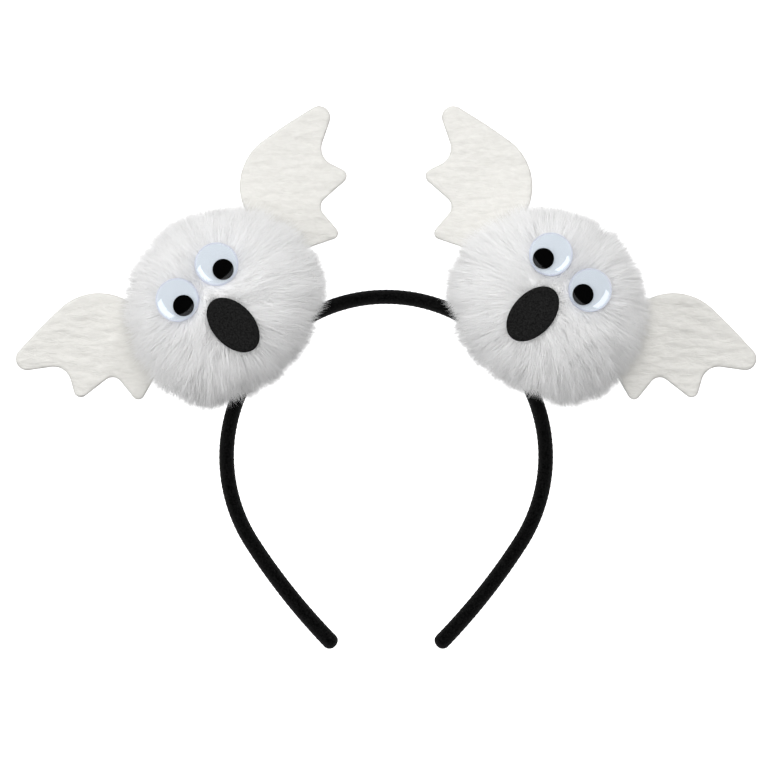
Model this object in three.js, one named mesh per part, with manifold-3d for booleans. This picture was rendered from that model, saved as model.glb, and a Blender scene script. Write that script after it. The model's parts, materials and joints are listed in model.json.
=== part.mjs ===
// A costume headband with two furry ghosts: a fabric-wrapped hoop that carries two fur pompoms,
// each with a pair of felt wings, two googly eyes and a felt mouth.
//
// The headband's own frame has X to the right as seen from the front, Y up to the crown and Z to the
// front, with its origin at the centre of the hoop's arc. The finished part lies face up on a table, on
// the flattened backs of the pompoms and the two tips of the hoop, with +Z up.

import * as THREE from 'three';
import { mergeVertices } from 'three/addons/utils/BufferGeometryUtils.js';
import { TessellateModifier } from 'three/addons/modifiers/TessellateModifier.js';
import Module from 'manifold-3d';

const wasm = await Module();
wasm.setup();

const DEG = Math.PI / 180;
const GOLDEN_SHARE = (Math.sqrt(5) - 1) / 2;

// Clearance between pieces that touch, in millimetres as all sizes are
const GAP = 0.3;

// The hoop
const ARC_RADIUS = 67;
const ARC_BELOW_SIDES_DEG = 32.8;
const LEG_LENGTH = 52.9;
const LEG_RADIUS = 267;
const BAND_THICKNESS = 6;
const BAND_TIP_THICKNESS = 6.7;
const BAND_WIDTH = 7;
const BAND_SIDES = 12;
const BAND_STEPS = 48;
const BAND_TIP_STEPS = 3;

// A pompom: its place on the hoop, its outer fur, and the locks that make up that outline
const POMPOM_FROM_CROWN_DEG = 47.2;
const POMPOM_ORBIT = 91.6;
const POMPOM_FORWARD = 8;
const POMPOM_REST_HEIGHT = 36;
const FUR_RADIUS = 42.2;
const HOOP_HOLLOW = 6.3;
const HOOP_HOLLOW_DEG = 32;
const HEAD_DETAIL = 8;
const LOCK_LENGTH = 5;
const LOCK_SHORTEST = 0.7;
const LOCK_LEAN = 0.035;

// A felt wing
const WING_THICKNESS = 2;
const WING_TILT_DEG = 39.6;
const WING_PAIR_INWARD = 1.6;
const WING_BEHIND = 5;
const WING_DROOP = 5;
const WING_FACET = 22;
const WING_ARC_STEPS = 3;

// Corners of a wing's outline, outward from the ghost's middle and up along its head, with the radius
// that rounds each corner
const WING_CORNERS = [
  { name: 'root_lead', out: 29.2, up: 9.7, round: 3 },
  { name: 'bulge', out: 32.3, up: 45.7, round: 23.5 },
  { name: 'tip', out: 93.1, up: 39.8, round: 4.6 },
  { name: 'first_valley', out: 68.1, up: 24.5, round: 7.6 },
  { name: 'first_cusp', out: 74.8, up: 9.7, round: 2.8 },
  { name: 'second_valley', out: 54.9, up: 9.1, round: 4.7 },
  { name: 'second_cusp', out: 55.2, up: -7.6, round: 2.4 },
  { name: 'root_trail', out: 25, up: 3.9, round: 3 },
];

// The face: two googly eyes and a mouth, pressed into the front of the fur
const FACE_TILT_DEG = 42.4;
const EYE_SPACING = 21.9;
const EYE_FORWARD = 32.5;
const EYE_TURN_DEG = 9;
const EYE_RADIUS = 9.1;
const EYE_HEIGHT = 5;
const EYE_RIM_HEIGHT = 1.9;
const EYE_WALL = 0.6;
const EYE_BACK_THICKNESS = 0.8;
const EYE_SIDES = 24;
const EYE_DOME_STEPS = 3;
const PUPIL_RADIUS = 4.4;
const PUPIL_THICKNESS = 0.8;
const PUPIL_ORBIT = 3.7;
const PUPIL_SIDES = 20;
const MOUTH_HALF_WIDTH = 8.6;
const MOUTH_HALF_HEIGHT = 13.3;
const MOUTH_FORWARD = 36;
const MOUTH_TURN_DEG = 5;
const MOUTH_THICKNESS = 1.5;
const MOUTH_STEPS = 14;
const SEAT_DEPTH = 16;
const SEAT_FLARE = 0.8;
const SEAT_SIDES = 20;

// The two ghosts: their side of the hoop, where each one's eyes and mouth sit from the pompom's middle
// (inward is towards the other ghost, up is along the face), how far inward of down the pupils hang, and
// the turn of its pattern of locks
const GHOSTS = [
  {
    name: 'left', side: -1, eyesInward: -1.3, eyesUp: 15.2, mouthInward: -2.1, mouthUp: -8.1,
    pupilHangDeg: 8, lockTurn: 0,
  },
  {
    name: 'right', side: 1, eyesInward: 3, eyesUp: 16.8, mouthInward: 2.9, mouthUp: -6.5,
    pupilHangDeg: 16, lockTurn: 1.9,
  },
];

// Materials

function matter(color, roughness, extra = {}) {
  return new THREE.MeshStandardMaterial({ color, roughness, metalness: 0, ...extra });
}

const BAND_FABRIC = matter(0x0f0f0f, 0.95);
const WHITE_FUR = matter(0xf0f0f0, 1);
const WHITE_FELT = matter(0xf1f0ec, 0.95);
const BLACK_FELT = matter(0x1d1d1d, 1);
const EYE_WHITE = matter(0xf4f7fa, 0.4);
const EYE_CLEAR = matter(0xe8f0f8, 0.05, { transparent: true, opacity: 0.3 });
const PUPIL_BLACK = matter(0x050505, 0.3);

// Shared helpers

// A geometry with only its positions, shared vertices merged and flat triangles dropped
function bareGeometry(geometry) {
  const bare = new THREE.BufferGeometry();
  bare.setAttribute('position', geometry.getAttribute('position'));
  bare.setIndex(geometry.getIndex());
  const merged = mergeVertices(bare);
  const index = merged.getIndex();
  const kept = [];
  for (let i = 0; i < index.count; i += 3) {
    const corners = [index.getX(i), index.getX(i + 1), index.getX(i + 2)];
    if (new Set(corners).size === 3) kept.push(...corners);
  }
  merged.setIndex(kept);
  return merged;
}

function toSolid(geometry, matrix = new THREE.Matrix4()) {
  const bare = bareGeometry(geometry.clone().applyMatrix4(matrix));
  const vertProperties = new Float32Array(bare.getAttribute('position').array);
  const triVerts = new Uint32Array(bare.getIndex().array);
  return new wasm.Manifold(new wasm.Mesh({ numProp: 3, vertProperties, triVerts }));
}

function toGeometry(solid) {
  const { vertProperties, triVerts } = solid.getMesh();
  const geometry = new THREE.BufferGeometry();
  geometry.setAttribute('position', new THREE.BufferAttribute(vertProperties, 3));
  geometry.setIndex(new THREE.BufferAttribute(triVerts, 1));
  geometry.computeVertexNormals();
  return geometry;
}

function largestPiece(solid) {
  return solid.decompose().reduce((best, piece) => (piece.volume() > best.volume() ? piece : best));
}

// Calls visit with every vertex of a geometry and its number, and keeps what it does to the vertex
function eachVertex(geometry, visit) {
  const position = geometry.getAttribute('position');
  const point = new THREE.Vector3();
  for (let i = 0; i < position.count; i += 1) {
    visit(point.fromBufferAttribute(position, i), i);
    position.setXYZ(i, point.x, point.y, point.z);
  }
  geometry.computeVertexNormals();
  return geometry;
}

// A solid of revolution about Z, from a profile of [radius, height] rows
function turned(profile, sides) {
  const points = profile.map(([radius, height]) => new THREE.Vector2(radius, height));
  return new THREE.LatheGeometry(points, sides).rotateX(Math.PI / 2);
}

function disc(radius, bottom, top, sides) {
  return turned([[0, bottom], [radius, bottom], [radius, top], [0, top]], sides);
}

function place(parent, name, geometry, material) {
  const mesh = new THREE.Mesh(geometry, material);
  mesh.name = name;
  parent.add(mesh);
}

// The hoop

const ARC_HALF_LENGTH = ARC_RADIUS * (90 + ARC_BELOW_SIDES_DEG) * DEG;
const BAND_HALF_LENGTH = ARC_HALF_LENGTH + LEG_LENGTH;

// Centre and outward direction of the hoop at a distance along it from the crown, left side positive;
// each leg bends on from the arc's end at its own wider radius
function bandAt(distance) {
  const onArc = THREE.MathUtils.clamp(distance, -ARC_HALF_LENGTH, ARC_HALF_LENGTH);
  const arcAngle = onArc / ARC_RADIUS;
  const angle = arcAngle + (distance - onArc) / LEG_RADIUS;
  const arcOutward = new THREE.Vector3(-Math.sin(arcAngle), Math.cos(arcAngle), 0);
  const outward = new THREE.Vector3(-Math.sin(angle), Math.cos(angle), 0);
  const bendCentre = arcOutward.multiplyScalar(ARC_RADIUS - LEG_RADIUS);
  const centre = bendCentre.addScaledVector(outward, LEG_RADIUS);
  return { centre, outward };
}

// A capsule bent along the hoop, a little thicker towards its tips; grow adds clearance all round
function bandGeometry(grow = 0) {
  const radius = BAND_THICKNESS / 2;
  const length = 2 * BAND_HALF_LENGTH;
  const capsule = new THREE.CapsuleGeometry(radius, length, BAND_TIP_STEPS, BAND_SIDES, BAND_STEPS);
  return eachVertex(capsule, (point) => {
    const { centre, outward } = bandAt(point.y);
    const share = Math.min(Math.abs(point.y) / BAND_HALF_LENGTH, 1);
    const thickness = THREE.MathUtils.lerp(BAND_THICKNESS, BAND_TIP_THICKNESS, share ** 2);
    const across = (point.x * (thickness + 2 * grow)) / BAND_THICKNESS;
    const front = (point.z * (BAND_WIDTH + 2 * grow)) / BAND_THICKNESS;
    point.copy(centre).addScaledVector(outward, across);
    point.z = front;
  });
}

// How the part lies: the hoop leans up from its tips until the pompoms rest at their height
const POMPOM_UP = POMPOM_ORBIT * Math.cos(POMPOM_FROM_CROWN_DEG * DEG);
const POMPOM_OUT = POMPOM_ORBIT * Math.sin(POMPOM_FROM_CROWN_DEG * DEG);
const REST_RUN = POMPOM_UP - bandAt(BAND_HALF_LENGTH).centre.y;
const REST_RISE = POMPOM_FORWARD + BAND_WIDTH / 2;
const REST_REACH = Math.hypot(REST_RUN, REST_RISE);
const REST_TILT = Math.asin(POMPOM_REST_HEIGHT / REST_REACH) - Math.atan2(REST_RISE, REST_RUN);
const TABLE_UP = new THREE.Vector3(0, Math.sin(REST_TILT), Math.cos(REST_TILT));

function lowestLevel(geometry) {
  let lowest = Infinity;
  eachVertex(geometry, (point) => {
    lowest = Math.min(lowest, point.dot(TABLE_UP));
  });
  return lowest;
}

const TABLE_LEVEL = lowestLevel(bandGeometry());

// The wings

// A closed outline through the corners, with an arc of each corner's radius
function roundedOutline(corners) {
  const shape = new THREE.Shape();
  corners.forEach((corner, i) => {
    const here = new THREE.Vector2(corner.out, corner.up);
    const before = corners.at(i - 1);
    const after = corners[(i + 1) % corners.length];
    const back = new THREE.Vector2(before.out, before.up).sub(here).normalize();
    const on = new THREE.Vector2(after.out, after.up).sub(here).normalize();
    const half = Math.acos(back.dot(on)) / 2;
    const start = here.clone().addScaledVector(back, corner.round / Math.tan(half));
    const end = here.clone().addScaledVector(on, corner.round / Math.tan(half));
    const centre = back.clone().add(on).setLength(corner.round / Math.sin(half)).add(here);
    const from = start.clone().sub(centre);
    const to = end.clone().sub(centre);
    if (i === 0) shape.moveTo(start.x, start.y);
    else shape.lineTo(start.x, start.y);
    shape.absarc(centre.x, centre.y, corner.round, from.angle(), to.angle(), from.cross(to) < 0);
  });
  return shape;
}

// The outline's points, moved out by grow
function grownOutline(shape, grow) {
  const points = shape.getPoints(WING_ARC_STEPS);
  const apart = points.filter((point, i) => point.distanceTo(points.at(i - 1)) > GAP);
  const turn = THREE.ShapeUtils.isClockWise(apart) ? 1 : -1;
  const moved = apart.map((point, i) => {
    const along = apart[(i + 1) % apart.length].clone().sub(apart.at(i - 1)).setLength(grow * turn);
    return new THREE.Vector2(point.x - along.y, point.y + along.x);
  });
  return new THREE.Shape(moved);
}

const WING_ROOT = Math.min(...WING_CORNERS.map((corner) => corner.out));
const WING_SPAN = Math.max(...WING_CORNERS.map((corner) => corner.out)) - WING_ROOT;

// A geometry mirrored in X, with its triangles still facing out
function mirrored(geometry) {
  const flipped = bareGeometry(geometry).scale(-1, 1, 1);
  flipped.setIndex([...flipped.getIndex().array].reverse());
  return flipped;
}

// One felt wing that droops towards its tip; direction is 1 for a wing that points along +X
function wingGeometry(direction, grow = 0) {
  const depth = WING_THICKNESS + 2 * grow;
  const outline = grownOutline(roundedOutline(WING_CORNERS), grow);
  const slab = new THREE.ExtrudeGeometry(outline, { depth, bevelEnabled: false });
  const facets = new TessellateModifier(WING_FACET).modify(slab.translate(0, 0, -depth / 2));
  eachVertex(facets, (point) => {
    const share = Math.max((point.x - WING_ROOT) / WING_SPAN, 0);
    point.z -= WING_DROOP * share ** 2;
  });
  return direction > 0 ? facets : mirrored(facets);
}

// The eyes and mouth

function eyeDomeGeometry() {
  const inner = EYE_RADIUS - EYE_WALL;
  const outside = [];
  const inside = [];
  for (let i = 0; i <= EYE_DOME_STEPS; i += 1) {
    const angle = (90 * DEG * i) / EYE_DOME_STEPS;
    const rise = (EYE_HEIGHT - EYE_RIM_HEIGHT) * Math.sin(angle);
    const innerRise = (EYE_HEIGHT - EYE_WALL - EYE_RIM_HEIGHT) * Math.sin(angle);
    const last = i === EYE_DOME_STEPS;
    outside.push([last ? 0 : EYE_RADIUS * Math.cos(angle), EYE_RIM_HEIGHT + rise]);
    inside.unshift([last ? 0 : inner * Math.cos(angle), EYE_RIM_HEIGHT + innerRise]);
  }
  return turned([[inner, 0], [EYE_RADIUS, 0], ...outside, ...inside, [inner, 0]], EYE_SIDES);
}

function pupilGeometry({ side, pupilHangDeg }) {
  const bottom = EYE_BACK_THICKNESS + GAP;
  const pupil = disc(PUPIL_RADIUS, bottom, bottom + PUPIL_THICKNESS, PUPIL_SIDES);
  const hang = pupilHangDeg * DEG;
  return pupil.translate(-side * PUPIL_ORBIT * Math.sin(hang), -PUPIL_ORBIT * Math.cos(hang), 0);
}

function mouthGeometry() {
  const oval = new THREE.Shape().absellipse(0, 0, MOUTH_HALF_WIDTH, MOUTH_HALF_HEIGHT, 0, 2 * Math.PI);
  return new THREE.ExtrudeGeometry(oval, {
    depth: MOUTH_THICKNESS, bevelEnabled: false, curveSegments: MOUTH_STEPS,
  });
}

// The room that a piece of the face takes in the fur: a flat seat behind it and a flared mouth in front
function seatGeometry(halfWidth, halfHeight) {
  const mean = (halfWidth + halfHeight) / 2;
  const open = 1 + (SEAT_FLARE * SEAT_DEPTH) / mean;
  const seat = turned([[0, -GAP], [1, -GAP], [open, SEAT_DEPTH], [0, SEAT_DEPTH]], SEAT_SIDES);
  return seat.scale(halfWidth + 2 * GAP, halfHeight + 2 * GAP, 1);
}

// A group at a point of the face, turned away from the face's middle by some degrees
function facePlace(face, x, up, forward, turnDeg) {
  const group = new THREE.Group();
  const facing = new THREE.Vector3(x, up, 0).setLength(Math.sin(turnDeg * DEG));
  facing.z = Math.cos(turnDeg * DEG);
  group.position.set(x, up, forward);
  group.quaternion.setFromUnitVectors(new THREE.Vector3(0, 0, 1), facing);
  face.add(group);
  return group;
}

// The pompoms

function furRadius(direction, towardHoop) {
  const angle = direction.angleTo(towardHoop) / DEG;
  return FUR_RADIUS - HOOP_HOLLOW * Math.exp(-((angle / HOOP_HOLLOW_DEG) ** 2));
}

// The vertices of a head that grow locks: as many as fit with no two of them side by side
function lockRoots(head) {
  const index = head.getIndex();
  const roots = new Set();
  const beside = Array.from({ length: head.getAttribute('position').count }, () => []);
  for (let i = 0; i < index.count; i += 1) {
    const next = i % 3 === 2 ? i - 2 : i + 1;
    beside[index.getX(i)].push(index.getX(next));
  }
  beside.forEach((others, vertex) => {
    if (!others.some((other) => roots.has(other))) roots.add(vertex);
  });
  return roots;
}

// A fur ball: a geodesic head with leaning locks of uneven length drawn out of it
function furBall(ghost, towardHoop) {
  const head = bareGeometry(new THREE.IcosahedronGeometry(1, HEAD_DETAIL)).rotateX(ghost.lockTurn);
  const roots = lockRoots(head);
  return eachVertex(head, (point, number) => {
    const reach = furRadius(point, towardHoop) - LOCK_LENGTH;
    const uneven = THREE.MathUtils.lerp(LOCK_SHORTEST, 1, (number * GOLDEN_SHARE) % 1);
    const lean = new THREE.Vector3().setFromSphericalCoords(LOCK_LEAN, number, 2 * number);
    if (roots.has(number)) point.add(lean).setLength(reach + LOCK_LENGTH * uneven);
    else point.setLength(reach);
  });
}

// A fur ball with room cut in it for all that it carries or rests on
function pompomGeometry(ghost, centre, cutters) {
  const towardHoop = new THREE.Vector3(-centre.x, -centre.y, 0).normalize();
  const ball = toSolid(furBall(ghost, towardHoop));
  return toGeometry(largestPiece(ball.subtract(wasm.Manifold.union(cutters))));
}

// The table under a pompom, as a block in the pompom's frame
function tableSolid(centre) {
  const size = 4 * FUR_RADIUS;
  const block = new THREE.BoxGeometry(size, size, size).rotateX(-REST_TILT);
  const drop = TABLE_LEVEL - centre.dot(TABLE_UP) - size / 2;
  return toSolid(block.translate(...TABLE_UP.clone().multiplyScalar(drop)));
}

// One ghost: pompom, wings, eyes and mouth

function makeGhost(ghost) {
  const { name, side } = ghost;
  const group = new THREE.Group();
  const centre = new THREE.Vector3(side * POMPOM_OUT, POMPOM_UP, POMPOM_FORWARD);
  group.position.copy(centre);
  const cutters = [tableSolid(centre), toSolid(bandGeometry(GAP).translate(...centre.clone().negate()))];
  const cutRoom = (geometry, holder) => {
    group.updateMatrixWorld();
    const toGhost = new THREE.Matrix4().makeTranslation(...centre.clone().negate());
    cutters.push(toSolid(geometry, toGhost.multiply(holder.matrixWorld)));
  };

  const wings = new THREE.Group();
  wings.rotation.z = -side * WING_TILT_DEG * DEG;
  wings.position.set(-side * WING_PAIR_INWARD, 0, -WING_BEHIND).applyEuler(wings.rotation);
  group.add(wings);
  for (const [where, direction] of [['inner', -side], ['outer', side]]) {
    place(wings, `${name}_${where}_wing`, wingGeometry(direction), WHITE_FELT);
    cutRoom(wingGeometry(direction, GAP), wings);
  }

  const face = new THREE.Group();
  face.rotation.z = -side * FACE_TILT_DEG * DEG;
  group.add(face);
  for (const [where, inward] of [['inner', 1], ['outer', -1]]) {
    const x = -side * (ghost.eyesInward + (inward * EYE_SPACING) / 2);
    const eye = facePlace(face, x, ghost.eyesUp, EYE_FORWARD, EYE_TURN_DEG);
    const backRadius = EYE_RADIUS - EYE_WALL - GAP;
    place(eye, `${name}_${where}_eye_back`, disc(backRadius, 0, EYE_BACK_THICKNESS, EYE_SIDES), EYE_WHITE);
    place(eye, `${name}_${where}_eye_pupil`, pupilGeometry(ghost), PUPIL_BLACK);
    place(eye, `${name}_${where}_eye_dome`, eyeDomeGeometry(), EYE_CLEAR);
    cutRoom(seatGeometry(EYE_RADIUS, EYE_RADIUS), eye);
  }
  const mouth = facePlace(face, -side * ghost.mouthInward, ghost.mouthUp, MOUTH_FORWARD, MOUTH_TURN_DEG);
  place(mouth, `${name}_mouth`, mouthGeometry(), BLACK_FELT);
  cutRoom(seatGeometry(MOUTH_HALF_WIDTH, MOUTH_HALF_HEIGHT), mouth);

  place(group, `${name}_pompom`, pompomGeometry(ghost, centre, cutters), WHITE_FUR);
  return group;
}

// The whole headband, laid on the table with the middle of its box over the origin

const headband = new THREE.Group();
place(headband, 'band', bandGeometry(), BAND_FABRIC);
headband.add(...GHOSTS.map(makeGhost));
headband.rotation.x = REST_TILT;
const box = new THREE.Box3().setFromObject(headband, true);
const middle = box.getCenter(new THREE.Vector3());
headband.position.set(-middle.x, -middle.y, -TABLE_LEVEL);

const part = new THREE.Group();
part.add(headband);

export default part;
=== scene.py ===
# The looks of a costume headband: a fabric-wrapped hoop with two furry ghosts, each with felt wings,
# googly eyes and a felt mouth. Sizes are in millimetres, and meshes are made in metres.

import json
import math

import bmesh
import bpy
import numpy as np
from mathutils import Matrix, Vector, noise
from mathutils.bvhtree import BVHTree
from mathutils.geometry import delaunay_2d_cdt
from mathutils.kdtree import KDTree


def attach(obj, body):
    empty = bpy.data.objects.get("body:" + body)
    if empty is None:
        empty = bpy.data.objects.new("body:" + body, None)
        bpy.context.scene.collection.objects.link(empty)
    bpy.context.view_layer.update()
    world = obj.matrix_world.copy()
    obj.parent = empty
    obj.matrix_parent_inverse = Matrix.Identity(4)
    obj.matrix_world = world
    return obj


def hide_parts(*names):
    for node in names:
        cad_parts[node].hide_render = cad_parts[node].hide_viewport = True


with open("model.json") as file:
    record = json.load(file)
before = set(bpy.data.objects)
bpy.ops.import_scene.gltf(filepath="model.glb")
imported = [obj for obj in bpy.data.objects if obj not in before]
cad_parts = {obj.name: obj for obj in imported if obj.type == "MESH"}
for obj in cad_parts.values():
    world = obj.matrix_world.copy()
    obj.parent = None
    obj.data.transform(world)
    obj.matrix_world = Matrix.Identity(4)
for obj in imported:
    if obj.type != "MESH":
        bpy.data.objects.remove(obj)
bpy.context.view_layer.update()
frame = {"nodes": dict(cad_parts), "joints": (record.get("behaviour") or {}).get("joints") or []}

MM = 0.001
SEED = 20
GHOSTS = {"left": -1, "right": 1}
SIDES_OF_A_GHOST = {"inner": -1, "outer": 1}
OWN_MAP = "OFBake"
NEVER_ZERO = 1e-9

# The hoop, as in its solid, and the ribbon wound on it
ARC_RADIUS = 67
ARC_BELOW_SIDES_DEG = 32.8
ARC_HALF_LENGTH = ARC_RADIUS * math.radians(90 + ARC_BELOW_SIDES_DEG)
LEG_LENGTH = 52.9
LEG_RADIUS = 267
BAND_HALF_LENGTH = ARC_HALF_LENGTH + LEG_LENGTH
BAND_THICKNESS = 6
BAND_TIP_THICKNESS = 6.7
BAND_WIDTH = 7
BAND_SIDES = 28
BAND_STEP = 0.5
BAND_CAP_STEPS = 8
WRAP_PITCH = 2.4
WRAP_RIDGE = 0.07
WRAP_RIDGE_POWER = 0.6
WRAP_PROUD = 0.1

# A pompom: its place and its fur's reach, with a crest by the inner wing, a hollow and notches by the hoop
POMPOM_FROM_CROWN_DEG = 47.2
POMPOM_ORBIT = 91.6
POMPOM_FORWARD = 8
FUR_RADIUS = 42.6
CREST = 0.9
CREST_DEG = 40
CREST_FROM_UP_DEG = 33
HOOP_HOLLOW = 6.9
HOOP_HOLLOW_DEG = 40
HOOP_HOLLOW_FROM_DOWN_DEG = {"left": 44, "right": 36.2}
HOOP_NOTCHES = [{"from_down_deg": 84, "depth": 3.6}, {"from_down_deg": 4, "depth": 2.4}]
HOOP_NOTCH_WIDE_DEG = 8
HOOP_NOTCH_TALL_DEG = 30

# How the fur gathers in tufts, leans and lies
LOCKS = 700
WISPS = 2800
TUFT_JITTER = 0.8
STRAND_JITTER = 1.2
SMOOTH_SIDE = (-0.6, 0.75, 0.3)
TUFTED = 0.6
TUFTED_FALL = 0.75
TUFTED_LEAST = 0.15
SMOOTH_PULL = 0.3
COMB = 0.45
COMB_FROM = -0.3
COMB_OVER = 0.8
SWEEP_WAVES = 12
SWEEP_CYCLES = 3.0
PARTING = 0.15
PARTING_REACH = 6
DISH_SLOPE = 0.22
LEAST_FACING = 0.2
NOT_FACING = 1e3
FUR_CLEARANCE = 0.25
FLOOR_CLEARANCE = 0.3
FLOOR_UNEVEN = 0.6
FLOOR_SPLAY = 0.6

# The fur's core and strands: the bulk are straight and thick, the fine ones bowed, longer and thin
CORE_DEPTH = 8.5
CORE_DETAIL = 5
# The core lies at the roots' end of the map, so it takes the painted root shade as well.
CORE_ON_MAP = ((0.49, 0), (0.51, 0), (0.5, 0.02))
ROOT_DEPTH = 10
ROOT_CLEARANCE = 0.5
KEPT_SHARE = 0.3
KEPT_SHARE_BY_HOOP = 0.85
BY_HOOP_DEG = 60
OWN_TONE = 0.3
TUFT_TONE = 0.35
STRAND_UNEVEN = (0.7, 1.3)
STRAND_BOW = 0.05
STRAND_BOW_AT = 0.55
STRAND_TAPER = 0.75
STRAND_WIDTH_ON_MAP = 1 / 128
BULK = {
    "count": 50000, "most": 46500, "radius": 0.22, "strand_lean": 0.03, "sweep": 0.05,
    "lock_lean": 0.05, "lock_pull": (0.4, 0.6), "lock_uneven": 0.9,
    "wisp_lean": 0.04, "wisp_pull": (0.4, 0.9), "wisp_uneven": 0.9,
    "most_uneven": 1.8, "shorter": 5.0, "longer": 1.0,
}
FINE = {
    "count": 20500, "most": 19000, "radius": 0.1, "strand_lean": 0.05, "sweep": 0.05,
    "lock_lean": 0.05, "lock_pull": (0.4, 0.6), "lock_uneven": 1.0,
    "wisp_lean": 0.04, "wisp_pull": (0.4, 1.0), "wisp_uneven": 1.2,
    "most_uneven": 2.4, "shorter": 4.0, "longer": 2.7,
}

# A felt wing: corners outward from the ghost's middle and up along its head
WING_THICKNESS = 2
WING_TILT_DEG = 39.6
WING_PAIR_INWARD = 1.6
WING_BEHIND = 5
WING_DROOP = 5
WING_CORNERS = [
    {"name": "root_lead", "out": 29.2, "up": 9.7, "round": 3},
    {"name": "bulge", "out": 32.3, "up": 45.7, "round": 23.5},
    {"name": "lead", "out": 66, "up": 43.3, "round": 150},
    {"name": "tip", "out": 93.1, "up": 39.8, "round": 4.6},
    {"name": "first_valley", "out": 68.1, "up": 24.5, "round": 7.6},
    {"name": "first_cusp", "out": 74.8, "up": 9.7, "round": 2.8},
    {"name": "second_valley", "out": 54.9, "up": 9.1, "round": 4.7},
    {"name": "second_cusp", "out": 55.2, "up": -7.6, "round": 2.4},
    {"name": "root_trail", "out": 25, "up": 3.9, "round": 3},
]
WING_OUTLINE_STEP = 0.7

# Felt: its mesh, its rounded edge in rims at shares of the rounding, and its folds across the hoop's plane
FELT_GRAIN = 0.8
FELT_EDGE_ROUND = 1.4
FELT_RIMS = (0, 0.1, 0.35, 0.7, 1.1)
FELT_RIM_GAP = 0.6
FELT_SPREAD = 0.25
ON_EDGE = 1e-3
SAME_POINT = 1e-6
FOLD_SWING = {"height": 1.2, "wide": 9, "tall": 9, "slice": 5.3}
FOLDS = [
    {"height": 0.42, "wide": 10, "tall": 3.2, "slice": 3.1},
    {"height": 0.2, "wide": 4.5, "tall": 1.5, "slice": 8.7},
]

# The face pieces, and how high the fur stands beside them
EYE_RADIUS = 9.1
EYE_HEIGHT = 5
EYE_RIM_HEIGHT = 1.9
EYE_WALL = 0.6
EYE_BACK_THICKNESS = 0.8
EYE_BACK_EDGE = 0.15
EYE_BACK_PLAY = 0.03
EYE_SEGMENTS = 72
DOME_STEPS = 20
EDGE_STEPS = 5
SHARP_DEG = 35
WELD_DISTANCE = 1e-7
PUPIL_RADIUS = 4.4
PUPIL_THICKNESS = 0.8
PUPIL_EDGE = 0.2
MOUTH_HALF_WIDTH = 8.6
MOUTH_HALF_HEIGHT = 13.3
MOUTH_THICKNESS = 1.5
MOUTH_POINTS = 96
SEAT_FLARE = 0.05
SEAT_DEPTH = 12
SEAT_BEHIND = 0.5
SEAT_SIDES = 40
EYE_SEAT = {"half": (EYE_RADIUS, EYE_RADIUS), "front": 2.3}
MOUTH_SEAT = {"half": (MOUTH_HALF_WIDTH, MOUTH_HALF_HEIGHT), "front": 2.0}

# The picture: its scale at the hoop's plane and the point of that plane in its middle
PICTURE_PIXELS = 768
PIXEL_SIZE = 0.42
PICTURE_MIDDLE = (-0.9, 30.4)
CAMERA_DISTANCE = 3000
SENSOR_WIDTH = 36

# The stage and its lights, with distances and sizes in metres
FLOOR_HALF = 6.0
CAMERA_SEES_TO = 100
WORLD_STRENGTH = 0.2
STUDIO_LIGHTS = [
    {"name": "front", "toward": (-0.02, 0.09, 1), "radiance": 3.6},
    {"name": "top", "toward": (0.1, 0.85, 0.5), "radiance": 2.75},
    {"name": "left", "toward": (-0.85, 0, 0.5), "radiance": 2.7},
    {"name": "right", "toward": (0.85, 0.1, 0.5), "radiance": 0.85},
]
STUDIO_DISTANCE = 6
STUDIO_LIGHT_SIZE = (4, 4)
GLINTS = [
    {"name": "glint", "around": 213, "from_axis": 52, "size": (0.6, 0.36), "radiance": 2.8},
    {"name": "faint_glint", "around": -44, "from_axis": 52, "size": (0.87, 0.40), "radiance": 0.36},
    {"name": "rim_glint", "around": 150, "from_axis": 78, "size": (0.6, 0.08), "radiance": 1},
]
GLINT_DISTANCE = 0.6
DIFFUSE_BOUNCES = 16
MAX_BOUNCES = 20


# Helpers

def unit(vectors):
    """Vectors scaled to a length of one."""
    return vectors / np.linalg.norm(vectors, axis=-1, keepdims=True)


def moved(points, matrix):
    """Points in millimetres of a frame, as metres of the row frame."""
    turn = np.array(matrix.to_3x3())
    return points * MM @ turn.T + np.array(matrix.translation)


def linked(name, data):
    """A new object of the scene that holds some data."""
    made = bpy.data.objects.new(name, data)
    bpy.context.scene.collection.objects.link(made)
    return made


def make_object(name, points, faces, material):
    """A smooth mesh object from points in metres and lists of vertex numbers."""
    mesh = bpy.data.meshes.new(name)
    mesh.from_pydata([tuple(point) for point in points], [], [tuple(face) for face in faces])
    mesh.polygons.foreach_set("use_smooth", np.full(len(mesh.polygons), True))
    mesh.materials.append(material)
    mesh.update()
    return linked(name, mesh)


def triangle_object(name, points, triangles, material, places=None):
    """A mesh object from arrays of points in metres and triangles: smooth, or flat with its corners' map."""
    mesh = bpy.data.meshes.new(name)
    mesh.vertices.add(len(points))
    mesh.vertices.foreach_set("co", points.astype(np.float32).ravel())
    mesh.loops.add(3 * len(triangles))
    mesh.loops.foreach_set("vertex_index", triangles.astype(np.int32).ravel())
    mesh.polygons.add(len(triangles))
    mesh.polygons.foreach_set("loop_start", np.arange(0, 3 * len(triangles), 3, dtype=np.int32))
    mesh.polygons.foreach_set("use_smooth", np.full(len(triangles), places is None))
    mesh.materials.append(material)
    if places is not None:
        layer = mesh.uv_layers.new(name=OWN_MAP, do_init=False)
        layer.uv.foreach_set("vector", places.astype(np.float32).ravel())
    mesh.update(calc_edges=True)
    return linked(name, mesh)


def node_points(name):
    """The vertices of a solid, in metres."""
    mesh = frame["nodes"][name].data
    points = np.empty(3 * len(mesh.vertices))
    mesh.vertices.foreach_get("co", points)
    return points.reshape(-1, 3)


def axes_matrix(x_axis, y_axis, z_axis, origin):
    """A frame from its axes and origin in the row frame."""
    turn = Matrix((x_axis, y_axis, z_axis)).transposed()
    return Matrix.Translation(origin) @ turn.to_4x4()


# Frames

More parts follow.
